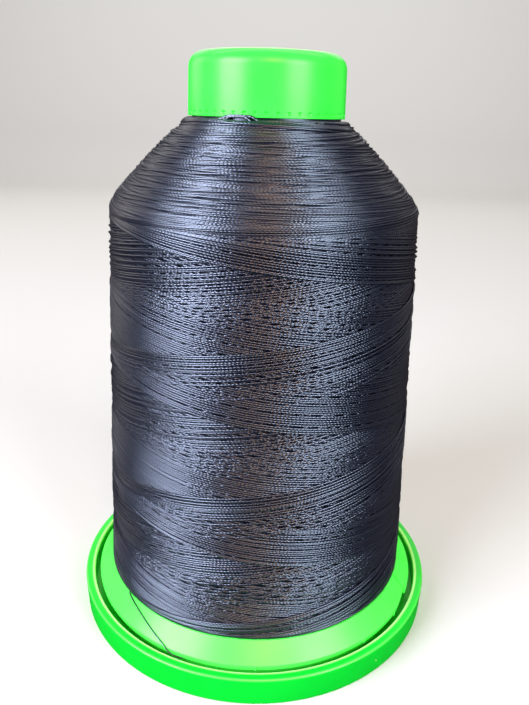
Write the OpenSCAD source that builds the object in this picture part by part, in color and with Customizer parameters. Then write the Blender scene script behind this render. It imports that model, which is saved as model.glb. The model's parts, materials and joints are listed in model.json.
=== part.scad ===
// Spool of thread on a moulded plastic core with a snap-fit base.
// Millimetres, +Z up. The origin is the middle of the base, on the surface it stands on.

/* [Base] */
// Diameter over the base's lip
base_d = 70; // [66:1:76]
// Radius that the base's wall loses from its lip down to its foot
base_taper = 0.2; // [0:0.1:0.5]
// Height of the base's lip
lip_h = 5.4; // [5:0.1:6.5]
// Width of the lip, and of the wall below it
lip_w = 1.8; // [1.5:0.1:2.1]
// Height of the base's web above the surface the spool stands on
foot_h = 1.2; // [0.8:0.1:1.6]
// Thickness of the base's web
web_t = 1.4; // [1.2:0.1:1.6]
// Height of the hub that slides in the barrel, above the web
hub_h = 14.4; // [13:0.2:18]
// Wall of the hub
hub_wall = 1.2; // [1:0.1:1.8]
// How far the base pulls down to open the thread lock
lock_travel = 4; // [2:0.5:5]

/* [Core] */
// Width of the open groove between the core's edge and the lip
groove_w = 1.05; // [1:0.05:1.6]
// Height of the core's edge above the lip
edge_rise = 0.1; // [-0.2:0.1:0.4]
// Thickness of the core's edge
edge_t = 1; // [0.8:0.1:1.2]
// Width of the sloping skirt outside the thread, measured flat
skirt_w = 2.65; // [2:0.05:3.5]
// Height of the sloping skirt
skirt_h = 3; // [2.5:0.1:3.5]
// Thickness of the flange under the thread
flange_t = 1.4; // [1.2:0.1:1.6]
// Wall of the cup below the flange
cup_wall = 1.3; // [1:0.1:1.6]
// Outside diameter of the barrel inside the thread
barrel_d = 23.8; // [22:0.1:25]
// Wall of the barrel
barrel_wall = 1.4; // [1.2:0.1:1.8]
// Length of barrel between the flange and the collar
wound_h = 83.7; // [70:0.1:100]
// How far the collar's lower edge stands out beyond the barrel
collar_out = 1.25; // [0.9:0.05:2]
// Height of the collar
collar_h = 9.8; // [8:0.2:14]
// Radius that the collar loses from its lower edge to its top
collar_taper = 0.2; // [0:0.1:0.6]
// Rounding of the collar's top edge
collar_round = 2.4; // [1:0.2:3]
// Thickness of the collar's top
top_t = 2; // [1.4:0.1:3]
// Diameter of the spindle hole in the collar's top
spindle_d = 12; // [8:0.5:14]

/* [Collar dimples] */
// Number of dimples round the collar, just above its lower edge
dimple_count = 48; // [24:1:60]
// Diameter of a dimple
dimple_d = 0.6; // [0.4:0.1:1]
// Depth of a dimple
dimple_depth = 0.25; // [0.1:0.05:0.4]
// Plain rim of the collar below the dimples
dimple_rim = 0.35; // [0.2:0.05:0.6]

/* [Thread] */
// Angle of the wound package's side from the axis
side_angle = 2.2; // [0:0.1:4]
// Angle of the package's shoulder slope from the axis, where it starts
cone_angle = 40; // [36:1:44]
// Height of the package's sloping top, with its rounded shoulder
cone_h = 15.6; // [14:0.2:18]
// Rounding of the package's shoulder
shoulder_r = 5; // [2:0.5:8]
// How far the package's top stands out beyond the collar's lower edge
wound_over = 0.2; // [0:0.05:0.4]
// Thickness of one lay of the outer winding, a few threads side by side
lay_d = 0.6; // [0.4:0.05:1]
// Turns in the outer winding
turns = 24; // [12:1:24]
// Thickness of the single thread of the tail
thread_d = 0.3; // [0.25:0.05:0.4]

/* [Hidden] */
$fn = 96;

core_green = [0.42, 0.97, 0.45];
base_green = [0.16, 0.94, 0.34];
navy = [0.2, 0.23, 0.35];

// Clearances
slide_fit = 0.05;   // radial, hub in barrel
stop_gap = 0.1;     // bead to the ends of its recess
wind_fit = 0.05;    // radial, thread package round the barrel
end_gap = 0.05;     // lay of winding to the flange
nip = 0.3;          // core's cup to the base's web, where the tail's end is held

// Base
base_r = base_d / 2;
foot_r = base_r - base_taper;
lip_in_r = base_r - lip_w;
web_top = foot_h + web_t;
lip_round = 0.45;   // outer edge
bead_round = 0.35;  // inner edge
edge_round = 0.25;

// Core
barrel_r = barrel_d / 2;
bore_r = barrel_r - barrel_wall;
collar_r = barrel_r + collar_out;
core_edge_r = lip_in_r - groove_w;
edge_z = lip_h + edge_rise;
flange_z = edge_z + skirt_h;
skirt_top_r = core_edge_r - skirt_w;
skirt_angle = atan2(-skirt_h, skirt_w);
ledge_w = 0.85;
cup_r = core_edge_r - ledge_w;
cup_in_r = cup_r - cup_wall;
collar_z = flange_z + wound_h;
top_z = collar_z + collar_h;

// Hub and its snap bead. The bead sits at the top of its recess when the base is shut.
hub_r = bore_r - slide_fit;
hub_in_r = hub_r - hub_wall;
hub_top = web_top + hub_h;
bead_out = 0.55;
bead_h = 1;
bead_z = hub_top - 3;
recess_r = bore_r + bead_out + stop_gap;
recess_bottom = bead_z - lock_travel - stop_gap;
recess_top = bead_z + bead_h + stop_gap;

// Step in the skirt and the pips on its edge, by their turn about the axis. The step starts
// level with the skirt and is deepest where it ends.
step_from = -33;
step_to = -22.5;
step_depth = 0.5;
pip_turns = [-35, -52, -89];
pip_r = 0.22;
pip_inset = 0.12;   // a pip's ends to the faces of the core's edge

// Outline helpers. Angles in an outline are counted from the outward radius.
function along(a) = [cos(a), sin(a)];

// Points that round the corner at p between two travel directions
function rounded(p, a_in, a_out, r, steps = 8) =
    let (turn = a_out - a_in)
    let (side = sign(turn) * 90)
    let (start = p - r * tan(abs(turn) / 2) * along(a_in))
    let (centre = start + r * along(a_in + side))
    [for (i = [0:steps]) centre + r * along(a_in - side + turn * i / steps)];

// Wound package: a tapered side, a rounded shoulder and a crowned cone up to the collar.
// A place on it is given by its distance along the outline from the flange.
side_dir = 90 + side_angle;
cone_dir = 90 + cone_angle;
side_len = (wound_h - cone_h) / cos(side_angle);
side_start = [skirt_top_r, flange_z];
side_end = side_start + side_len * along(side_dir);
shoulder_c = side_end + shoulder_r * along(side_dir + 90);
shoulder_len = shoulder_r * (cone_angle - side_angle) * PI / 180;
cone_start = shoulder_c + shoulder_r * along(cone_dir - 90);
cone_end = [collar_r + wound_over, collar_z];
cone_chord = cone_end - cone_start;
cone_r = cone_chord * cone_chord / (2 * cone_chord * along(cone_dir + 90));
cone_c = cone_start + cone_r * along(cone_dir + 90);
cone_len = 2 * asin(norm(cone_chord) / (2 * cone_r)) * cone_r * PI / 180;
outline_len = side_len + shoulder_len + cone_len;

// Direction straight out of the package at distance s
function out_angle(s) =
    s < side_len ? side_dir - 90 :
    s < side_len + shoulder_len ? side_dir - 90 + (s - side_len) / shoulder_r * 180 / PI :
    cone_dir - 90 + (s - side_len - shoulder_len) / cone_r * 180 / PI;

// Point at distance s, set in by depth
function outline(s, depth) =
    let (a = out_angle(s))
    s < side_len ? side_start + s * along(side_dir) - depth * along(a) :
    s < side_len + shoulder_len ? shoulder_c + (shoulder_r - depth) * along(a) :
    cone_c + (cone_r - depth) * along(a);

// The plain package lies under the winding by one lay and by the sag of its straight chords
turn_rings = 24;
chord_sag = skirt_top_r * (1 - cos(180 / turn_rings));
package_depth = lay_d + chord_sag;
crown_step = 1;

// Outer winding: a helix of straight chords, from the flange to the collar
lay_sides = 6;
wind_start_turn = -144.5;
wind_s0 = lay_d / 2 + end_gap;
wind_s1 = outline_len - lay_d;
wind_rings = turns * turn_rings;

function at_turn(p, turn) = [p[0] * cos(turn), p[0] * sin(turn), p[1]];
function wind_point(i) =
    at_turn(outline(wind_s0 + (wind_s1 - wind_s0) * i / wind_rings, lay_d / 2),
            wind_start_turn - 360 * i / turn_rings);
function unit(v) = v / norm(v);
wind_first = wind_point(0) + lay_d * unit(wind_point(0) - wind_point(1));
wind_last = wind_point(wind_rings) + lay_d * unit(wind_point(wind_rings) - wind_point(wind_rings - 1));
wind_path = concat([wind_first], [for (i = [0:wind_rings]) wind_point(i)], [wind_last]);

// Tail: it leaves the winding's lower end, crosses the skirt, drops into the groove and runs
// on below the core's edge. Each row holds a turn about the axis, a radius and a height.
tail_sides = 8;
tail_step = 0.8;
tail_route = [
    [-141, 29.7, 8.55],
    [-137, 30.03, 8.15],
    [-132.5, 30.43, 7.7],
    [-128, 30.93, 7.13],
    [-124, 31.43, 6.57],
    [-121, 31.82, 6.12],
    [-118.3, 32.27, 5.7],
    [-116.8, 32.4, 5.1],
    [-115.3, 32.3, 4.55],
    [-113.5, 32, 4.3],
    [-110.5, 31.6, 4.25],
    [-106, 31.5, 4.25],
    [-100, 31.5, 4.25],
    [-94, 31.5, 4.25],
    [-88, 31.5, 4.25],
    [-82, 31.5, 4.25],
    [-76, 31.5, 4.25],
];
tail_knots = concat(
    [wind_first, wind_first + lay_d * unit(wind_point(0) - wind_point(1))],
    [for (row = tail_route) at_turn([row[1], row[2]], row[0])]);

// Smooth curve through a list of knots, with a point about every step
function knot(k, i) = k[max(0, min(len(k) - 1, i))];
function between(k, i, t) =
    let (a = knot(k, i - 1), b = knot(k, i), c = knot(k, i + 1), d = knot(k, i + 2))
    b + t / 2 * (c - a + t * (2 * a - 5 * b + 4 * c - d + t * (3 * b - a - 3 * c + d)));
function smooth(k, step) = concat(
    [for (i = [0 : len(k) - 2])
        let (n = max(1, round(norm(k[i + 1] - k[i]) / step)))
        for (j = [0 : n - 1]) between(k, i, j / n)],
    [k[len(k) - 1]]);
tail_path = smooth(tail_knots, tail_step);

// Least distance between turns of a path that lie side by side, less its thickness
function turn_gap(path, rings, thickness) =
    min([for (i = [0 : len(path) - 1])
        for (j = [i + rings - 3 : min(i + rings + 3, len(path) - 1)])
            norm(path[i] - path[j])]) - thickness;
echo(least_gap_of_winding = turn_gap(wind_path, turn_rings, lay_d));

// Tube of flat triangles along a path, closed at both ends
module tube(path, d, sides) {
    last = len(path) - 1;
    function heading(i) = unit(path[min(i + 1, last)] - path[max(i - 1, 0)]);
    function ring(i) =
        let (h = heading(i))
        let (u = unit(cross([0, 0, 1], h)))
        let (v = cross(h, u))
        [for (k = [0 : sides - 1]) path[i] + d / 2 * (cos(360 * k / sides) * u + sin(360 * k / sides) * v)];
    points = concat([for (i = [0:last]) each ring(i)], [path[0], path[last]]);
    first_cap = len(points) - 2;
    last_cap = len(points) - 1;
    walls = [for (i = [0 : last - 1], k = [0 : sides - 1])
        let (a = i * sides + k, b = i * sides + (k + 1) % sides)
        each [[a, b, b + sides], [a, b + sides, a + sides]]];
    caps = [for (k = [0 : sides - 1])
        let (n = (k + 1) % sides)
        each [[first_cap, n, k], [last_cap, last * sides + k, last * sides + n]]];
    polyhedron(points, concat(walls, caps));
}

module barrel() {
    difference() {
        translate([0, 0, web_top]) cylinder(r = barrel_r, h = top_z - web_top - top_t);
        translate([0, 0, web_top - 1]) cylinder(r = bore_r, h = top_z - top_t - web_top + 1);
        translate([0, 0, recess_bottom]) cylinder(r = recess_r, h = recess_top - recess_bottom);
    }
}

module collar() {
    side_up = 90 + atan2(collar_taper, collar_h);
    difference() {
        rotate_extrude() polygon(concat(
            [[barrel_r - barrel_wall / 2, collar_z], [collar_r, collar_z]],
            rounded([collar_r - collar_taper, top_z], side_up, 180, collar_round, 12),
            rounded([spindle_d / 2, top_z], 180, 270, edge_round),
            [[spindle_d / 2, top_z - top_t], [barrel_r - barrel_wall / 2, top_z - top_t]]));
        for (i = [0 : dimple_count - 1]) rotate(360 * i / dimple_count)
            translate([collar_r - dimple_depth, 0, collar_z + dimple_rim + dimple_d / 2]) rotate([0, 90, 0])
                cylinder(d = dimple_d, h = 2 * dimple_depth, $fn = 24);
    }
}

module flange() {
    cup_top = flange_z - flange_t;
    chamfer = 0.9;
    rotate_extrude() polygon(concat(
        [[barrel_r - barrel_wall / 2, flange_z]],
        [[barrel_r - barrel_wall / 2, cup_top], [cup_in_r - chamfer, cup_top], [cup_in_r, cup_top - chamfer]],
        [[cup_in_r, web_top + nip], [cup_r, web_top + nip], [cup_r, edge_z - edge_t]],
        rounded([core_edge_r, edge_z - edge_t], 0, 90, edge_round),
        rounded([core_edge_r, edge_z], 90, 180 + skirt_angle, edge_round),
        [[skirt_top_r, flange_z]]));
}

// Shallow step in the skirt: what stands outside an off-centre cone, up to step_to
module skirt_step() {
    middle = (step_from + step_to) / 2;
    shift = step_depth / 2 / sin((step_to - step_from) / 2);
    reach = core_edge_r + 1;
    cut_r = core_edge_r - step_depth / 2;
    slope = skirt_w / skirt_h;
    low = edge_z - edge_t - 1;
    spare_turn = 5;
    intersection() {
        translate([0, 0, low]) linear_extrude(flange_z - low)
            polygon([[0, 0], reach * along(step_from - spare_turn), 1.1 * reach * along(middle),
                reach * along(step_to)]);
        difference() {
            translate([0, 0, low]) cylinder(r = reach, h = flange_z - low);
            translate(shift * along(middle - 90)) {
                translate([0, 0, low - 1]) cylinder(r = cut_r, h = edge_z - low + 1);
                translate([0, 0, edge_z])
                    cylinder(r1 = cut_r, r2 = cut_r - slope * (skirt_h + 1), h = skirt_h + 1);
            }
        }
    }
}

module edge_pips() {
    for (turn = pip_turns) rotate(turn)
        translate([core_edge_r, 0, edge_z - edge_t + pip_inset])
            cylinder(r = pip_r, h = edge_t - 2 * pip_inset, $fn = 24);
}

module spool_core() {
    color(core_green) {
        barrel();
        collar();
        difference() {
            flange();
            skirt_step();
        }
        edge_pips();
    }
}

module snap_base() {
    color(base_green) {
        rotate_extrude() polygon(concat(
            [[hub_in_r, foot_h], [lip_in_r, foot_h], [lip_in_r, 0]],
            rounded([foot_r, 0], 0, 90, edge_round),
            rounded([base_r, lip_h], 90, 180, lip_round),
            rounded([lip_in_r, lip_h], 180, 270, bead_round),
            [[lip_in_r, web_top], [hub_r, web_top], [hub_r, hub_top], [hub_in_r, hub_top]]));
        rotate_extrude() polygon([
            [hub_r - hub_wall / 2, bead_z], [hub_r, bead_z], [hub_r + bead_out, bead_z + bead_h / 2],
            [hub_r, bead_z + bead_h], [hub_r - hub_wall / 2, bead_z + bead_h]]);
    }
}

module thread_package() {
    inner_r = barrel_r + wind_fit;
    bottom_r = outline(0, package_depth)[0];
    top = outline(outline_len, package_depth);
    color(navy) rotate_extrude() polygon(concat(
        [[inner_r, flange_z], [bottom_r, flange_z]],
        [for (s = [side_len : crown_step : outline_len]) outline(s, package_depth)],
        [top, [top[0], collar_z], [inner_r, collar_z]]));
}

module outer_winding() {
    color(navy) tube(wind_path, lay_d, lay_sides);
}

module thread_tail() {
    color(navy) tube(tail_path, thread_d, tail_sides);
}

spool_core();
snap_base();
thread_package();
outer_winding();
thread_tail();
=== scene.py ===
import json
import math

import bpy
import numpy as np
from mathutils import Matrix, Vector


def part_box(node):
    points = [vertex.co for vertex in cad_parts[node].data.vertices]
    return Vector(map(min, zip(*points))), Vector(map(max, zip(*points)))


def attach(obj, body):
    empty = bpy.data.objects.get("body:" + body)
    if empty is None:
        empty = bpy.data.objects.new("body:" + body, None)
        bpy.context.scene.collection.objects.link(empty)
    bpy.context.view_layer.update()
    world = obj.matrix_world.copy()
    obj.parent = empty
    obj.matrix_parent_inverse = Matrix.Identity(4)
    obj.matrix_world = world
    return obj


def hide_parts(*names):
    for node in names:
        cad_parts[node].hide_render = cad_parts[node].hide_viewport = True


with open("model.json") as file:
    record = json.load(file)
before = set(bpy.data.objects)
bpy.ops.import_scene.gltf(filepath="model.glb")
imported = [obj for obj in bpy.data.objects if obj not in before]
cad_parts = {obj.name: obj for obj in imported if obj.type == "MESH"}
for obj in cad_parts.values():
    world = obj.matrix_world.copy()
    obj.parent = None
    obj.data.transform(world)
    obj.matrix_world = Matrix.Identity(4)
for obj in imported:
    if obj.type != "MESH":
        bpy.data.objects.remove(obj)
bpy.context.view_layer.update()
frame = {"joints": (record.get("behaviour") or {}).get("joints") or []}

MM = 0.001
UP = Vector((0, 0, 1))

# ---------------------------------------------------------------- sizes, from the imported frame

core_low, core_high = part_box("spool_core")
base_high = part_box("snap_base")[1]
package_low, package_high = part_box("thread_package")

# Columns round a spun piece
core_columns = 576
base_columns = 320
body_columns = 192

edge_round = 0.25 * MM

# Base
base_r = base_high.x
base_taper = 0.2 * MM
lip_h = 5.4 * MM
lip_w = 1.8 * MM
foot_h = 1.2 * MM
lip_in_r = base_r - lip_w
lip_round = 0.45 * MM
lip_in_round = 0.35 * MM
web_bevel = 0.2 * MM
hub_top = base_high.z
hub_wall = 1.2 * MM
hub_bevel = 0.15 * MM
slide_fit = 0.05 * MM

# Core
top_z = core_high.z
web_top = core_low.z
core_edge_r = core_high.x
flange_z = package_low.z
collar_z = package_high.z
edge_z = lip_h + 0.1 * MM
edge_t = 1.0 * MM
skirt_w = 2.65 * MM
skirt_top_r = core_edge_r - skirt_w
flange_t = 1.4 * MM
# A row of points this far out from the skirt's top keeps its shading flat
skirt_lead = 0.6 * MM
# The cup is the ring that hangs below the flange. Its rim stays this far above the base's web
rim_gap = 0.3 * MM
cup_r = core_edge_r - 0.85 * MM
cup_in_r = cup_r - 1.3 * MM
cup_round = 0.15 * MM
cup_bevel = 0.9 * MM
barrel_r = 11.9 * MM
bore_r = barrel_r - 1.4 * MM
collar_r = barrel_r + 1.25 * MM
collar_taper = 0.2 * MM
collar_round = 2.4 * MM
collar_bevel = 0.08 * MM
top_t = 2.0 * MM
spindle_r = 6.0 * MM
hub_r = bore_r - slide_fit

# Dimples round the collar, just above its lower edge
dimple_count = 48
dimple_r = 0.3 * MM
dimple_depth = 0.25 * MM
dimple_z = collar_z + 0.35 * MM + dimple_r

# Snap bead on the hub, and its recess in the bore
bead_out = 0.55 * MM
bead_h = 1.0 * MM
bead_z = hub_top - 3.0 * MM
bead_room = 0.1 * MM
lock_travel = frame["joints"][0]["range_m"][1]

# Step in the skirt and pips on its edge, by their turn about the axis
step_from = math.radians(-33)
step_to = math.radians(-22.5)
step_depth = 0.5 * MM
pip_turns = [math.radians(turn) for turn in (-35, -52, -89)]
pip_r = 0.22 * MM
pip_h = edge_t - 0.24 * MM

# Wound package
side_angle = math.radians(2.2)
cone_angle = math.radians(40)
cone_h = 15.6 * MM
shoulder_r = 5.0 * MM
wound_over = 0.2 * MM
wound_depth = 1.3 * MM
body_fit = 0.05 * MM


# ---------------------------------------------------------------- camera

def place_camera():
    """Looks down at the spool from close by, as someone at a table does."""
    place = Vector((0, -117.41, 93.28)) * MM
    down = math.radians(20.25)
    aside = math.radians(0.38)
    roll = math.radians(1.63)
    level = math.cos(down)
    forward = Vector((math.sin(aside) * level, math.cos(aside) * level, -math.sin(down)))
    right = Vector((math.cos(aside), -math.sin(aside), 0))
    above = right.cross(forward)
    across = math.cos(roll) * right + math.sin(roll) * above
    upward = math.cos(roll) * above - math.sin(roll) * right
    camera = bpy.data.objects.new("camera", bpy.data.cameras.new("camera"))
    camera.data.lens = 33.506
    camera.data.sensor_width = 36
    camera.data.clip_start = 5 * MM
    camera.data.clip_end = 20
    pose = Matrix((across, upward, -forward)).transposed().to_4x4()
    camera.matrix_world = Matrix.Translation(place) @ pose
    bpy.context.scene.collection.objects.link(camera)
    bpy.context.scene.camera = camera


place_camera()


# ---------------------------------------------------------------- thread, in code

def tube(name, centres, radius, sides):
    """A round thread along a path. Its UV map holds the millimetres along it, and the way round it."""
    ahead = np.gradient(centres, axis=0)
    ahead /= np.linalg.norm(ahead, axis=1)[:, None]
    out = centres * (1, 1, 0)
    out -= (out * ahead).sum(1)[:, None] * ahead
    out /= np.linalg.norm(out, axis=1)[:, None]
    over = np.cross(ahead, out)
    turn = np.linspace(0, 2 * math.pi, sides, endpoint=False)
    ring = np.cos(turn)[None, :, None] * out[:, None] + np.sin(turn)[None, :, None] * over[:, None]
    skin = (centres[:, None] + radius * ring).reshape(-1, 3)
    rings = len(centres)
    i, k = np.meshgrid(np.arange(rings - 1), np.arange(sides), indexing="ij")
    here, beside = i * sides + k, i * sides + (k + 1) % sides
    walls = np.stack([here, beside, beside + sides, here + sides], axis=-1).reshape(-1, 4)
    length = np.concatenate([[0], np.cumsum(np.linalg.norm(np.diff(centres, axis=0), axis=1))]) / MM
    wall_uv = np.stack([
        np.stack([length[i], k / sides], axis=-1),
        np.stack([length[i], (k + 1) / sides], axis=-1),
        np.stack([length[i + 1], (k + 1) / sides], axis=-1),
        np.stack([length[i + 1], k / sides], axis=-1)], axis=2).reshape(-1, 2)
    first_cap = list(range(sides))[::-1]
    last_cap = [(rings - 1) * sides + j for j in range(sides)]
    cap_uv = np.repeat([[0.0, 0.0], [length[-1], 0.0]], sides, axis=0)
    mesh = bpy.data.meshes.new(name)
    mesh.from_pydata(skin.tolist(), [], walls.tolist() + [first_cap, last_cap])
    mesh.polygons.foreach_set("use_smooth", [True] * len(walls) + [False, False])
    uv = mesh.uv_layers.new(name="UVMap")
    uv.data.foreach_set("uv", np.concatenate([wall_uv, cap_uv]).astype(np.float32).ravel())
    piece = bpy.data.objects.new(name, mesh)
    bpy.context.scene.collection.objects.link(piece)
    return piece


# Tail: turn about the axis in degrees, radius and height in millimetres. It leaves the lower end of the
# winding, crosses the skirt, drops into the groove and runs on below the core's edge. Pulled taut, it is
# a little thinner than its size.
tail_taut_r = 0.12 * MM
tail_sides = 8
tail_step = 0.8 * MM
tail_route = [
    (-144.5, 29.19, 8.84),
    (-142.0, 29.3, 8.83),
    (-141.0, 29.7, 8.55),
    (-137.0, 30.03, 8.15),
    (-132.5, 30.43, 7.7),
    (-128.0, 30.93, 7.13),
    (-124.0, 31.43, 6.57),
    (-121.0, 31.82, 6.12),
    (-118.3, 32.27, 5.7),
    (-116.8, 32.4, 5.1),
    (-115.3, 32.3, 4.55),
    (-113.5, 32.0, 4.3),
    (-110.5, 31.6, 4.25),
    (-106.0, 31.5, 4.25),
    (-100.0, 31.5, 4.25),
    (-94.0, 31.5, 4.25),
    (-88.0, 31.5, 4.25),
    (-82.0, 31.5, 4.25),
    (-76.0, 31.5, 4.25),
]


def smooth_line(knots, step):
    """A smooth curve through the knots, with a point about every step."""
    ends = np.concatenate([knots[:1], knots, knots[-1:]])
    line = []
    for a, b, c, d in zip(ends, ends[1:], ends[2:], ends[3:]):
        for t in np.arange(0, 1, 1 / max(1, round(np.linalg.norm(c - b) / step))):
            line.append(b + t / 2 * (c - a + t * (2 * a - 5 * b + 4 * c - d + t * (3 * (b - c) + d - a))))
    return np.array(line + [knots[-1]])


def make_tail():
    """The thread's loose end, from the winding to where the base nips it."""
    turn, radius, height = np.array(tail_route, float).T
    turn = np.radians(turn)
    knots = np.stack([radius * np.cos(turn), radius * np.sin(turn), height], axis=1) * MM
    path = smooth_line(knots, tail_step)
    tail = tube("thread_end", path, tail_taut_r, tail_sides)
    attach(tail, "core")
    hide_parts("thread_tail")
    return tail


thread_end = make_tail()

# Outline of the wound package, as (radius, height): a tapered side, a rounded shoulder and a crowned cone
side_dir = math.pi / 2 + side_angle
cone_dir = math.pi / 2 + cone_angle


def along(angle):
    """Unit step in an outline, at an angle from the outward radius."""
    return Vector((math.cos(angle), math.sin(angle)))


side_len = (collar_z - flange_z - cone_h) / math.cos(side_angle)
side_start = Vector((skirt_top_r, flange_z))
shoulder_c = side_start + side_len * along(side_dir) + shoulder_r * along(side_dir + math.pi / 2)
shoulder_len = shoulder_r * (cone_angle - side_angle)
cone_start = shoulder_c + shoulder_r * along(cone_dir - math.pi / 2)
cone_chord = Vector((collar_r + wound_over, collar_z)) - cone_start
cone_r = cone_chord.length_squared / (2 * cone_chord.dot(along(cone_dir + math.pi / 2)))
cone_c = cone_start + cone_r * along(cone_dir + math.pi / 2)
cone_len = 2 * math.asin(cone_chord.length / (2 * cone_r)) * cone_r
outline_len = side_len + shoulder_len + cone_len


def outline(s, depth):
    """Radius and height at distances s along the package's outline from the flange, set in by depth."""
    on_side, on_shoulder = s < side_len, s < side_len + shoulder_len
    round_shoulder = side_angle + (s - side_len) / shoulder_r
    round_cone = cone_angle + (s - side_len - shoulder_len) / cone_r
    out = np.where(on_side, side_angle, np.where(on_shoulder, round_shoulder, round_cone))
    cos, sin = np.cos(out), np.sin(out)
    radius = np.where(on_side, side_start.x - s * math.sin(side_angle) - depth * cos,
                      np.where(on_shoulder, shoulder_c.x + (shoulder_r - depth) * cos,
                               cone_c.x + (cone_r - depth) * cos))
    height = np.where(on_side, side_start.y + s * math.cos(side_angle) - depth * sin,
                      np.where(on_shoulder, shoulder_c.y + (shoulder_r - depth) * sin,
                               cone_c.y + (cone_r - depth) * sin))
    return radius, height


# Winding: one thread laid up and down the package, with steep turns on the side and flat ones on the cone.
# A pass is once up and once down. It is a little short of 14 turns, so each lies beside the last, the
# passes fill the surface, and their crossings make fans.
passes = 62
turns_per_pass = 14 - 1 / passes
turn_climb = 24.0 * MM
winding_end_turn = math.radians(tail_route[0][0])
thread_r = 0.175 * MM
thread_sides = 6
rings_per_turn = 72
winding_pieces = 4
winding_seed = 21

# Where a pass turns back, how far short of that it may do so, the power that keeps most of them close to
# it, and the turns that a pass spends there
winding_low = 0.18 * MM
winding_high = outline_len - 0.15 * MM
low_spread = 0.2 * MM
high_spread = 0.6 * MM
mostly_close = 1.5
low_dwell = 0.22
high_dwell = 0.1
ease_rings = rings_per_turn // 12

# How far the thread strays sideways, how often, over what length that fades out by the ends, and how much
# the speed of its climb up the cone varies
stray = 0.1 * MM
strays_per_pass = 16
end_fade = 3.0 * MM
cone_hurry = 0.13

# Settling, on a grid of columns round the package and cells up it. A thread covers some cells either side
# of its centre, bridges and evens out over some rings either side, and is pressed down to so many of its
# radii above the usual height, which is evened over row_cells either side.
cell = 0.025 * MM
cover_cells = 6
bridge_rings = 3
even_rings = 9
row_cells = 20
press = 2.4

# The level close by is a mean over columns and cells either side, raised until most of the surface lies
# below it
near_columns = 8
near_cells = 32
below_level_percent = 90

# Depth of the uppermost centres, and roughly how far the others sink below them, by their place up the
# outline
bedding = 0.8 * thread_r
side_sink = 0.5 * MM
cone_sink = 0.1 * MM
top_sink = 0.25 * MM
sink_places = [side_len - 4 * MM, side_len + 2 * MM, outline_len - 7 * MM, outline_len - 3 * MM]
sink_depths = [side_sink, cone_sink, cone_sink, top_sink]

# Turns that slip onto the collar's edge: the passes, the stretch and how it starts and ends
lap_passes = (44, 56)
lap_from = math.radians(-127)
lap_to = math.radians(-97)
lap_rise = 0.2
lap_fall = 0.05
lap_climb = 0.3 * MM


def evened(surface, across, along):
    """Mean of a surface over a number of cells either side, round the package and up it."""
    padded = np.pad(surface, ((across, across), (0, 0)), mode="wrap")
    padded = np.pad(padded, ((0, 0), (along, along)), mode="edge")
    for axis, reach in ((0, across), (1, along)):
        ones = np.ones(2 * reach + 1) / (2 * reach + 1)
        padded = np.apply_along_axis(np.convolve, axis, padded, ones, mode="valid")
    return padded


def settle(columns, s, lengths):
    """How deep the thread's centre lies, where each length rests on those laid before it."""
    cover = np.arange(-cover_cells, cover_cells + 1)
    cap = np.sqrt(thread_r ** 2 - (cover * cell) ** 2)
    # How far a straight thread dips below the round, one ring from where it is held
    sag = 2 * (math.pi / rings_per_turn) ** 2 * skirt_top_r
    surface = np.zeros((rings_per_turn, int(outline_len / cell) + 1))
    centre = np.zeros(len(s))
    for first, last in zip(lengths, lengths[1:]):
        column = columns[first:last, None]
        middle = np.rint(s[first:last] / cell).astype(int)
        cells = np.clip(middle[:, None] + cover, 0, surface.shape[1] - 1)
        rest = (surface[column, cells] + cap).max(axis=1)
        # A taut thread bridges the dips between what it rests on, and presses into what it crosses
        padded = np.pad(rest, bridge_rings, mode="edge")
        rest = np.max([padded[bridge_rings + j:bridge_rings + j + len(rest)] - j * j * sag
                       for j in range(-bridge_rings, bridge_rings + 1)], axis=0)
        rest = evened(rest[None, :], 0, even_rings)[0]
        level = evened(np.median(surface, axis=0)[None, :], 0, row_cells)[0]
        rest = np.minimum(rest, level[cells[:, cover_cells]] + press * thread_r)
        np.maximum.at(surface, (column, cells), rest[:, None] + cap)
        centre[first:last] = rest
    # The package keeps its outline, so depth is taken from the surface close by. The flat turns on the cone
    # are pressed together, and hardly any of them sinks in.
    level = evened(surface, near_columns, near_cells)
    level += np.percentile(surface - level, below_level_percent)
    depth = np.maximum(level[columns, np.rint(s / cell).astype(int)] - centre - bedding, 0)
    most = np.interp(s, sink_places, sink_depths)
    return bedding + most * np.log1p(depth / most)


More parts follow.
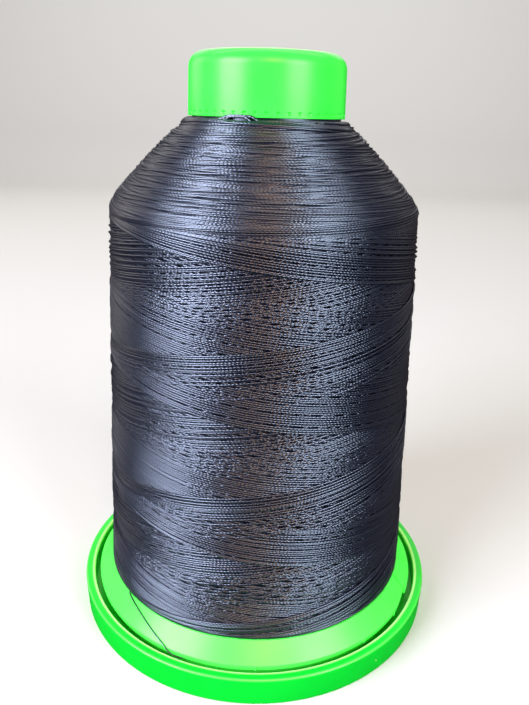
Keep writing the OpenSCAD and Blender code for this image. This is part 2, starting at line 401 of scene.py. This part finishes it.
def winding_path():
    """Centres of the wound thread, from the first that shows to the last."""
    rng = np.random.default_rng(winding_seed)
    total = passes * turns_per_pass
    turns = np.linspace(0, total, round(total * rings_per_turn) + 1)
    turn = winding_end_turn - 2 * math.pi * (total - turns)
    side_turns = (side_len - winding_low) / turn_climb
    cone_turns = (turns_per_pass - low_dwell - high_dwell) / 2 - side_turns
    corners = np.cumsum([0, side_turns, cone_turns, high_dwell, cone_turns, side_turns, low_dwell])
    # The guide eases round its turns
    ease = np.ones(2 * ease_rings + 1) / (2 * ease_rings + 1)
    up_side, up_cone = (
        np.convolve(np.pad(np.interp(turns % turns_per_pass, corners, share), ease_rings, mode="edge"),
                    ease, mode="valid")
        for share in ([0, 1, 1, 1, 1, 0, 0], [0, 0, 1, 1, 0, 0, 0]))
    laid = turns / turns_per_pass
    # Each length climbs the cone at a speed of its own
    hurry = rng.uniform(-cone_hurry, cone_hurry, 2 * passes + 1)[(2 * laid).astype(int)]
    up_cone = up_cone + hurry * np.sin(math.pi * up_cone)
    # The thread strays from its place, so neighbours draw together and apart, and it turns back a bit early
    knots = np.arange(passes * strays_per_pass + 1)
    shift = np.interp(laid * strays_per_pass, knots, rng.normal(0, stray, len(knots)))
    starts = np.arange(passes + 1)
    low_early = low_spread * rng.random(passes + 1) ** mostly_close
    high_early = high_spread * rng.random(passes + 1) ** mostly_close
    low = winding_low + np.interp(laid, starts, low_early)
    high = winding_high - np.interp(laid, starts + 0.5, high_early)
    s = low + (side_len - low) * up_side + (high - side_len) * up_cone
    s += shift * np.clip((s - low) / end_fade, 0, 1) * np.clip((high - s) / end_fade, 0, 1)
    columns = np.rint(turns * rings_per_turn).astype(int) % rings_per_turn
    lengths = np.linspace(0, len(s), 2 * passes + 1).astype(int)
    radius, height = outline(s, settle(columns, s, lengths))
    # A few turns slip a little way onto the collar's edge
    here = (turn + math.pi) % (2 * math.pi) - math.pi
    slip = np.clip((here - lap_from) / lap_rise, 0, 1) * np.clip((lap_to - here) / lap_fall, 0, 1)
    slip *= (s > winding_high - high_spread) & (laid > lap_passes[0]) & (laid < lap_passes[1])
    climb = lap_climb * rng.random(passes + 1)[laid.astype(int)]
    radius = radius + slip * (collar_r + thread_r - radius)
    height = height + slip * (collar_z + climb - height)
    return np.stack([radius * np.cos(turn), radius * np.sin(turn), height], axis=1)


def make_winding():
    """The wound thread, cut into lengths that follow one another."""
    path = winding_path()
    cuts = np.linspace(0, len(path) - 1, winding_pieces + 1).astype(int)
    pieces = []
    for number, (first, last) in enumerate(zip(cuts, cuts[1:]), 1):
        piece = tube(f"winding_{number}", path[first:last + 1], thread_r, thread_sides)
        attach(piece, "core")
        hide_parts("outer_winding")
        pieces.append(piece)
    return pieces


winding = make_winding()


# ---------------------------------------------------------------- turned and moulded pieces

def rounded(corner, heading_in, heading_out, radius, steps=8):
    """Points that round a profile's corner between two headings, in degrees from the outward radius."""
    turn = heading_out - heading_in
    side = math.copysign(90, turn)
    start = corner - radius * math.tan(math.radians(abs(turn) / 2)) * along(math.radians(heading_in))
    centre = start + radius * along(math.radians(heading_in + side))
    return [centre + radius * along(math.radians(heading_in - side + turn * i / steps))
            for i in range(steps + 1)]


def turned(name, profile, columns, first_turn=0.0):
    """A closed profile of (radius, height) points, drawn point by point and spun round the axis."""
    same_place = 0.001 * MM
    spoke = Vector((math.cos(first_turn), math.sin(first_turn), 0))
    places = [radius * spoke + height * UP for radius, height in profile]
    bpy.ops.object.select_all(action="DESELECT")
    bpy.ops.mesh.primitive_plane_add(size=MM, location=(0, 0, 0))
    piece = bpy.context.object
    piece.name = piece.data.name = name
    bpy.ops.object.mode_set(mode="EDIT")
    bpy.ops.mesh.merge(type="CENTER")
    bpy.ops.transform.translate(value=places[0])
    for here, there in zip(places, places[1:] + places[:1]):
        bpy.ops.mesh.extrude_region_move(TRANSFORM_OT_translate={"value": there - here})
    bpy.ops.mesh.select_all(action="SELECT")
    bpy.ops.mesh.remove_doubles(threshold=same_place)
    bpy.ops.mesh.spin(steps=columns, angle=2 * math.pi, center=(0, 0, 0), axis=(0, 0, 1))
    bpy.ops.mesh.select_all(action="SELECT")
    bpy.ops.mesh.remove_doubles(threshold=same_place)
    bpy.ops.mesh.normals_make_consistent(inside=False)
    bpy.ops.object.mode_set(mode="OBJECT")
    return piece


def points(*pairs):
    """A profile's sharp points, from pairs of radius and height."""
    return [Vector(pair) for pair in pairs]


def make_package_body():
    """What lies under the drawn turns, so that no gap between them shows the core."""
    s = np.append(np.arange(side_len, outline_len, MM), outline_len)
    radius, height = outline(s, wound_depth)
    bottom_r = float(outline(np.array(0.0), wound_depth)[0])
    inner_r = barrel_r + body_fit
    profile = points((inner_r, flange_z), (bottom_r, flange_z))
    profile += [Vector(pair) for pair in zip(radius, height)]
    profile += points((radius[-1], collar_z), (inner_r, collar_z))
    body = turned("package_body", profile, body_columns)
    bpy.ops.object.shade_smooth_by_angle(angle=math.radians(30))
    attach(body, "core")
    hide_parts("thread_package")
    return body


def core_profile():
    """Round the core's wall: barrel, collar, bore, flange, cup and skirt."""
    skirt_fall = math.degrees(math.atan2(flange_z - edge_z, skirt_w))
    side_up = 90 + math.degrees(math.atan2(collar_taper, top_z - collar_z))
    recess_r = bore_r + bead_out + bead_room
    recess_low = bead_z - lock_travel - bead_room
    recess_high = bead_z + bead_h + bead_room

    def collar_side(z):
        return Vector((collar_r - collar_taper * (z - collar_z) / (top_z - collar_z), z))

    dimple_rows = [dimple_z + dimple_r * math.sin(math.radians(a)) for a in range(-90, 91, 15)]
    return [
        *points((barrel_r, flange_z), (barrel_r, collar_z), (collar_r - collar_bevel, collar_z)),
        *[collar_side(z) for z in [collar_z + collar_bevel, *dimple_rows]],
        *rounded(Vector((collar_r - collar_taper, top_z)), side_up, 180, collar_round, steps=20),
        *rounded(Vector((spindle_r, top_z)), 180, 270, edge_round),
        *points((spindle_r, top_z - top_t), (bore_r, top_z - top_t)),
        *points((bore_r, recess_high), (recess_r, recess_high)),
        *points((recess_r, recess_low), (bore_r, recess_low)),
        *points((bore_r, web_top), (barrel_r, web_top), (barrel_r, flange_z - flange_t)),
        *points((cup_in_r - cup_bevel, flange_z - flange_t), (cup_in_r, flange_z - flange_t - cup_bevel)),
        *points((cup_in_r, web_top + rim_gap), (cup_r, web_top + rim_gap)),
        *rounded(Vector((cup_r, edge_z - edge_t)), 90, 0, cup_round, steps=4),
        *rounded(Vector((core_edge_r, edge_z - edge_t)), 0, 90, edge_round),
        *rounded(Vector((core_edge_r, edge_z)), 90, 180 - skirt_fall, edge_round),
        *points((skirt_top_r + skirt_lead, flange_z - skirt_lead * (flange_z - edge_z) / skirt_w)),
        *points((skirt_top_r, flange_z)),
    ]


def shape_dimples_and_step(core):
    """Moves the spun wall's points in for the dimples and for the step in the skirt."""
    pitch = 2 * math.pi / dimple_count
    column = 2 * math.pi / core_columns
    slack = 0.01 * MM
    for vertex in core.data.vertices:
        x, y, z = vertex.co
        radius, turn = math.hypot(x, y), math.atan2(y, x)
        moved = radius
        if abs(z - dimple_z) < dimple_r and radius > collar_r - collar_taper:
            aside = radius * (turn - pitch * round(turn / pitch))
            off_middle = math.hypot(aside, z - dimple_z) / dimple_r
            moved -= dimple_depth * max(0, 1 - off_middle ** 4)
        in_height = edge_z - edge_t - slack < z <= flange_z + slack
        on_skirt = in_height and z > edge_z and radius > skirt_top_r - slack
        on_edge = in_height and z <= edge_z and radius > cup_r + cup_round + slack
        if on_skirt or on_edge:
            if step_from < turn < step_to + 0.01 * column:
                moved -= step_depth * (turn - step_from) / (step_to - step_from)
            elif step_to < turn < step_to + 1.01 * column:
                # The next column closes up to the step, so that its face is steep
                turn = step_to + 0.1 * column
        vertex.co = (moved * math.cos(turn), moved * math.sin(turn), z)


def make_core():
    """The core's moulding, spun from one profile, with its dimples, its step and the pips on its edge."""
    core = turned("core_moulding", core_profile(), core_columns, first_turn=step_to)
    shape_dimples_and_step(core)
    pips = []
    for turn in pip_turns:
        bpy.ops.object.select_all(action="DESELECT")
        bpy.ops.mesh.primitive_cylinder_add(
            vertices=20, radius=pip_r, depth=pip_h,
            location=(core_edge_r * math.cos(turn), core_edge_r * math.sin(turn), edge_z - edge_t / 2))
        bpy.ops.object.mode_set(mode="EDIT")
        bpy.ops.mesh.select_all(action="SELECT")
        bpy.ops.mesh.bevel(offset=pip_r / 6, segments=2, affect="EDGES")
        bpy.ops.object.mode_set(mode="OBJECT")
        pips.append(bpy.context.object)
    bpy.ops.object.select_all(action="DESELECT")
    for pip in pips:
        pip.select_set(True)
    core.select_set(True)
    bpy.context.view_layer.objects.active = core
    bpy.ops.object.join()
    bpy.ops.object.shade_smooth_by_angle(angle=math.radians(32))
    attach(core, "core")
    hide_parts("spool_core")
    return core


def base_profile():
    """Round the base's wall: foot, lip, web and hub with its snap bead."""
    side_up = 90 - math.degrees(math.atan2(base_taper, lip_h))
    hub_in_r = hub_r - hub_wall
    return [
        *points((hub_in_r, foot_h), (lip_in_r, foot_h), (lip_in_r, 0)),
        *rounded(Vector((base_r - base_taper, 0)), 0, side_up, edge_round),
        *rounded(Vector((base_r, lip_h)), side_up, 180, lip_round, steps=12),
        *rounded(Vector((lip_in_r, lip_h)), 180, 270, lip_in_round),
        *points((lip_in_r, web_top + web_bevel), (lip_in_r - web_bevel, web_top)),
        *points((hub_r + web_bevel, web_top), (hub_r, web_top + web_bevel), (hub_r, bead_z)),
        *points((hub_r + bead_out, bead_z + bead_h / 2), (hub_r, bead_z + bead_h)),
        *points((hub_r, hub_top - hub_bevel), (hub_r - hub_bevel, hub_top)),
        *points((hub_in_r + hub_bevel, hub_top), (hub_in_r, hub_top - hub_bevel)),
    ]


def make_base():
    """The base's moulding, spun from one profile."""
    base = turned("base_moulding", base_profile(), base_columns)
    bpy.ops.object.shade_smooth_by_angle(angle=math.radians(32))
    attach(base, "base")
    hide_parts("snap_base")
    return base


package_body = make_package_body()
core_moulding = make_core()
base_moulding = make_base()


# ---------------------------------------------------------------- materials

def colour(code):
    """An sRGB hex colour as linear red, green, blue and alpha."""
    parts = [int(code[i:i + 2], 16) / 255 for i in (0, 2, 4)]
    return [c / 12.92 if c <= 0.04045 else ((c + 0.055) / 1.055) ** 2.4 for c in parts] + [1.0]


def new_material(name):
    """A material and its shader."""
    material = bpy.data.materials.new(name)
    material.use_nodes = True
    return material, material.node_tree.nodes["Principled BSDF"]


def add(material, kind, inputs=None, **settings):
    """Adds a node. Its inputs go by name or place, and each is a value or another node's output."""
    made = material.node_tree.nodes.new(kind)
    for name, value in settings.items():
        setattr(made, name, value)
    join(material, made, inputs or {})
    return made


def join(material, made, inputs):
    """Sets a node's inputs to values, or links them to other nodes' outputs."""
    for key, value in inputs.items():
        if isinstance(value, bpy.types.NodeSocket):
            material.node_tree.links.new(value, made.inputs[key])
        else:
            made.inputs[key].default_value = value


def green_polypropylene(name, deep, pale, dust_r, painted_highlight_rings):
    """Moulded polypropylene: slightly cloudy, with a soft gloss, and with highlights painted on as pale
    rings.

    The radius dust_r is that of its largest specks of dust.
    """
    material, shader = new_material(name)
    place = add(material, "ShaderNodeTexCoord")
    # Flow marks and thin or thick spots of the moulding, some 8 mm across
    cloud = add(material, "ShaderNodeTexNoise",
                {"Vector": place.outputs["Object"], "Scale": 120.0, "Detail": 2.0})
    tint = add(material, "ShaderNodeMix", {0: cloud.outputs["Fac"], 6: colour(deep), 7: colour(pale)},
               data_type="RGBA").outputs[2]
    # Eroded mould surface, drawn at about 0.4 mm so that it shows in the gloss
    grain = add(material, "ShaderNodeTexNoise",
                {"Vector": place.outputs["Object"], "Scale": 2500.0, "Detail": 3.0})
    bump = add(material, "ShaderNodeBump",
               {"Height": grain.outputs["Fac"], "Strength": 0.12, "Distance": 0.05 * MM})
    rough = add(material, "ShaderNodeMapRange", {0: grain.outputs["Fac"], 3: 0.26, 4: 0.4})
    # A speck of dust in about one in five cells of 2 mm
    cells_per_metre = 500.0
    cells = add(material, "ShaderNodeTexVoronoi",
                {"Vector": place.outputs["Object"], "Scale": cells_per_metre})
    chance = add(material, "ShaderNodeSeparateColor", {0: cells.outputs["Color"]})
    size = add(material, "ShaderNodeMapRange",
               {0: chance.outputs[0], 1: 0.8, 2: 1.0, 3: 0.0, 4: dust_r * cells_per_metre})
    dust = add(material, "ShaderNodeMath",
               {0: cells.outputs["Distance"], 1: size.outputs[0]}, operation="LESS_THAN")
    tint = add(material, "ShaderNodeMix", {0: dust.outputs[0], 6: tint, 7: colour("e8f0a8")},
               data_type="RGBA").outputs[2]
    # Each painted highlight is a pale ring, given by its radius, height and width
    flat = add(material, "ShaderNodeVectorMath",
               {0: place.outputs["Object"], 1: (1, 1, 0)}, operation="MULTIPLY")
    radius = add(material, "ShaderNodeVectorMath", {0: flat.outputs[0]}, operation="LENGTH")
    split = add(material, "ShaderNodeSeparateXYZ", {0: place.outputs["Object"]})
    for ring_r, ring_height, width, share in painted_highlight_rings:
        spot = add(material, "ShaderNodeCombineXYZ", {0: radius.outputs["Value"], 2: split.outputs[2]})
        off = add(material, "ShaderNodeVectorMath", {0: spot.outputs[0], 1: (ring_r, 0, ring_height)},
                  operation="DISTANCE")
        highlight_fade = add(material, "ShaderNodeMapRange",
                    {0: off.outputs["Value"], 1: width, 2: width / 2, 3: 0.0, 4: share})
        tint = add(material, "ShaderNodeMix", {0: highlight_fade.outputs[0], 6: tint, 7: colour("c4ff9c")},
                   data_type="RGBA").outputs[2]
    join(material, shader, {
        "Base Color": tint, "Roughness": rough.outputs[0], "Normal": bump.outputs["Normal"],
        "IOR": 1.49, "Specular IOR Level": 0.45, "Subsurface Weight": 0.4, "Subsurface Scale": 1.2 * MM,
        "Specular Tint": colour("fff2d2")})
    shader.inputs["Subsurface Radius"].default_value = (0.4, 1.0, 0.5)
    return material


def navy_polyester(name):
    """Two-ply trilobal polyester thread: dark, with a silky gloss on each ply."""
    ply_length = 0.6
    twist_drift = 50.0
    material, shader = new_material(name)
    uv = add(material, "ShaderNodeUVMap", uv_map="UVMap")
    split = add(material, "ShaderNodeSeparateXYZ", {0: uv.outputs[0]})
    # Dye, tension and twist change along the thread
    stretch = add(material, "ShaderNodeMapping", {0: uv.outputs[0], "Scale": (0.011, 0.0, 0.0)})
    drift = add(material, "ShaderNodeTexNoise",
                {"Vector": stretch.outputs[0], "Scale": 1.0, "Detail": 4.0})
    # A ply comes round every 0.6 mm of the thread, and the two lie side by side round it
    slack = add(material, "ShaderNodeMath",
                {0: drift.outputs["Fac"], 1: twist_drift}, operation="MULTIPLY")
    lengthwise = add(material, "ShaderNodeMath",
                     {0: split.outputs[0], 1: 2 * math.pi / ply_length, 2: slack.outputs[0]},
                     operation="MULTIPLY_ADD")
    phase = add(material, "ShaderNodeMath",
                {0: split.outputs[1], 1: -4 * math.pi, 2: lengthwise.outputs[0]},
                operation="MULTIPLY_ADD")
    wave = add(material, "ShaderNodeMath", {0: phase.outputs[0]}, operation="COSINE")
    ply = add(material, "ShaderNodeMapRange", {0: wave.outputs[0], 1: -1.0, 2: 1.0})
    shade = add(material, "ShaderNodeMix",
                {0: drift.outputs["Fac"], 6: colour("0c1020"), 7: colour("151b30")}, data_type="RGBA")
    # Painted shade: the valleys between the plies are drawn near black, with the thread's own colour on
    # their crowns
    tint = add(material, "ShaderNodeMix", {0: ply.outputs[0], 6: colour("040509"), 7: shade.outputs[2]},
               data_type="RGBA")
    bump = add(material, "ShaderNodeBump",
               {"Height": ply.outputs[0], "Strength": 1.0, "Distance": 0.022 * MM})
    join(material, shader, {
        "Base Color": tint.outputs[2], "Normal": bump.outputs["Normal"], "Roughness": 0.28,
        "IOR": 1.62, "Specular IOR Level": 1.0, "Specular Tint": colour("e3eaff")})
    return material


def plain_floor():
    """Matt painted board: pale and even, with the fine grain that a roller leaves."""
    material, shader = new_material("matt_board")
    place = add(material, "ShaderNodeTexCoord")
    grain = add(material, "ShaderNodeTexNoise",
                {"Vector": place.outputs["Object"], "Scale": 900.0, "Detail": 2.0})
    bump = add(material, "ShaderNodeBump",
               {"Height": grain.outputs["Fac"], "Strength": 0.1, "Distance": 0.1 * MM})
    join(material, shader, {
        "Base Color": colour("c9c7c3"), "Roughness": 0.75, "Normal": bump.outputs["Normal"]})
    return material


def dress(piece, material):
    """Gives a piece one material."""
    piece.data.materials.clear()
    piece.data.materials.append(material)


thread_material = navy_polyester("navy_polyester_thread")
for piece in [*winding, thread_end, package_body]:
    dress(piece, thread_material)
# The core's painted highlights: a pale ring along the collar's top rounding, and a faint one across the
# skirt
dress(core_moulding, green_polypropylene(
    "core_polypropylene", "28de38", "3eee4c", 0.08 * MM,
    [(collar_r - collar_taper - 1.8 * MM, top_z, 0.5 * MM, 0.5),
     ((skirt_top_r + core_edge_r) / 2, (flange_z + edge_z) / 2, 4 * MM, 0.08)]))
# The base's painted highlights: a pale line round the lip's inner edge, and a fainter one round its outer
# edge
dress(base_moulding, green_polypropylene(
    "base_polypropylene", "02c02a", "06cc34", 0.2 * MM,
    [(lip_in_r, lip_h, 0.65 * MM, 0.9), (base_r, lip_h, 0.4 * MM, 0.15)]))


# ---------------------------------------------------------------- floor and light

def select_back_edge(floor):
    """Selects the edge where the board's flat ends at the back, and leaves it in edit mode."""
    bpy.ops.object.mode_set(mode="OBJECT")
    for edge in floor.data.edges:
        ends = [floor.data.vertices[i].co for i in edge.vertices]
        edge.select = all(co.y > 1 and co.z < 0.01 for co in ends)
    bpy.ops.object.mode_set(mode="EDIT")


def make_floor():
    """A pale board that curves up behind the spool."""
    width = 2.4
    wall_h = 1.6
    bend = 0.5
    bpy.ops.object.select_all(action="DESELECT")
    bpy.ops.mesh.primitive_plane_add(size=width, location=(0, 0, 0))
    floor = bpy.context.object
    floor.name = floor.data.name = "floor"
    bpy.ops.object.mode_set(mode="EDIT")
    bpy.ops.mesh.select_all(action="DESELECT")
    bpy.ops.mesh.select_mode(type="EDGE")
    select_back_edge(floor)
    bpy.ops.mesh.extrude_region_move(TRANSFORM_OT_translate={"value": (0, 0, wall_h)})
    select_back_edge(floor)
    bpy.ops.mesh.bevel(offset=bend, segments=16, affect="EDGES")
    bpy.ops.object.mode_set(mode="OBJECT")
    bpy.ops.object.shade_smooth()
    dress(floor, plain_floor())
    # The board's own light would wash out the dark thread
    floor.visible_diffuse = False
    floor.visible_glossy = False


def add_light(name, turn, height, far, size, power, tint, aim=Vector((0, 0, 0.055))):
    """A soft box that faces its aim, at a turn in degrees round the axis, to the right of the camera.

    Height is above the floor and far is from the axis, in metres, and power is in watts.
    """
    light = bpy.data.lights.new(name, "AREA")
    light.shape = "RECTANGLE"
    light.size, light.size_y = size
    light.energy = power
    light.color = colour(tint)[:3]
    lamp = bpy.data.objects.new(name, light)
    a = math.radians(turn)
    lamp.location = (far * math.sin(a), -far * math.cos(a), height)
    lamp.rotation_euler = (lamp.location - aim).to_track_quat("Z", "Y").to_euler()
    bpy.context.scene.collection.objects.link(lamp)


def light_scene():
    """Soft boxes all round, and a dim warm light from everywhere."""
    add_light("key_light", -52, 0.27, 0.5, (0.34, 0.36), 7.8, "e6efff")
    add_light("side_light", 44, 0.27, 0.55, (0.32, 0.36), 5.2, "e6f4ff")
    add_light("far_side_light", -120, 0.25, 0.6, (0.25, 0.3), 0.6, "fff4e6")
    add_light("right_rim_light", 122, 0.25, 0.6, (0.25, 0.3), 0.13, "fff4e6")
    add_light("front_light", 8, 0.42, 0.48, (0.2, 0.2), 1.7, "ffc88c")
    add_light("back_light", 180, 0.45, 0.7, (0.8, 0.2), 1.2, "ffffff")
    add_light("backdrop_light", 180, 1.1, 0.5, (1.6, 0.3), 14.0, "ffffff", aim=Vector((0, 1.15, 0.35)))
    world = bpy.data.worlds.new("studio")
    bpy.context.scene.world = world
    world.use_nodes = True
    background = world.node_tree.nodes["Background"]
    background.inputs["Color"].default_value = colour("e0c09a")
    background.inputs["Strength"].default_value = 0.065
    bpy.context.scene.view_settings.view_transform = "Standard"


make_floor()
light_scene()
